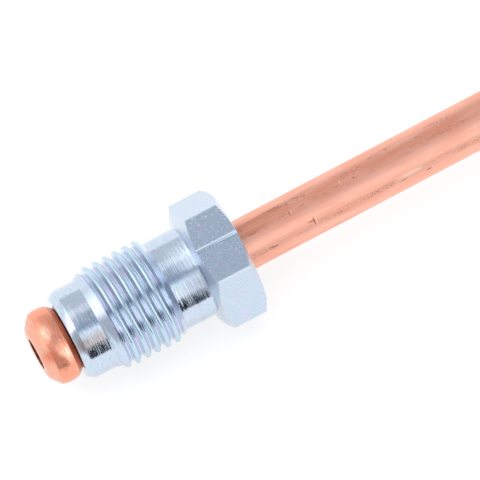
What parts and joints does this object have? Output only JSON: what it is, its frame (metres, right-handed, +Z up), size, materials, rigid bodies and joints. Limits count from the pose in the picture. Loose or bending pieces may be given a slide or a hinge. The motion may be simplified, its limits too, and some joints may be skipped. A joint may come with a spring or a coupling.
{
  "type": "brake line",
  "caption": "Straight copper brake line with a bubble flare at each end and a sliding male tube nut behind each flare.",
  "frame": {"origin": "on the ground under the middle of the pipe", "axes": "+X along the pipe from the near end, which the picture shows, to the far end; +Z up, square to the flats that it lies on"},
  "size_m": [0.2, 0.0126, 0.011],
  "materials": {
    "copper": "bright drawn copper, satin, with a few clamp marks",
    "zinc_steel": "turned steel, bright zinc plated with a pale blue passivation"
  },
  "bodies": {
    "pipe": {"brake_pipe": "copper"},
    "near_nut": {"near_tube_nut": "zinc_steel"},
    "far_nut": {"far_tube_nut": "zinc_steel"}
  },
  "joints": [
    {"name": "near_nut_slide", "type": "slide", "parent": "pipe", "child": "near_nut", "axis": [1, 0, 0], "range_m": [0, 0.079]},
    {"name": "far_nut_slide", "type": "slide", "parent": "pipe", "child": "far_nut", "axis": [-1, 0, 0], "range_m": [0, 0.079]}
  ]
}
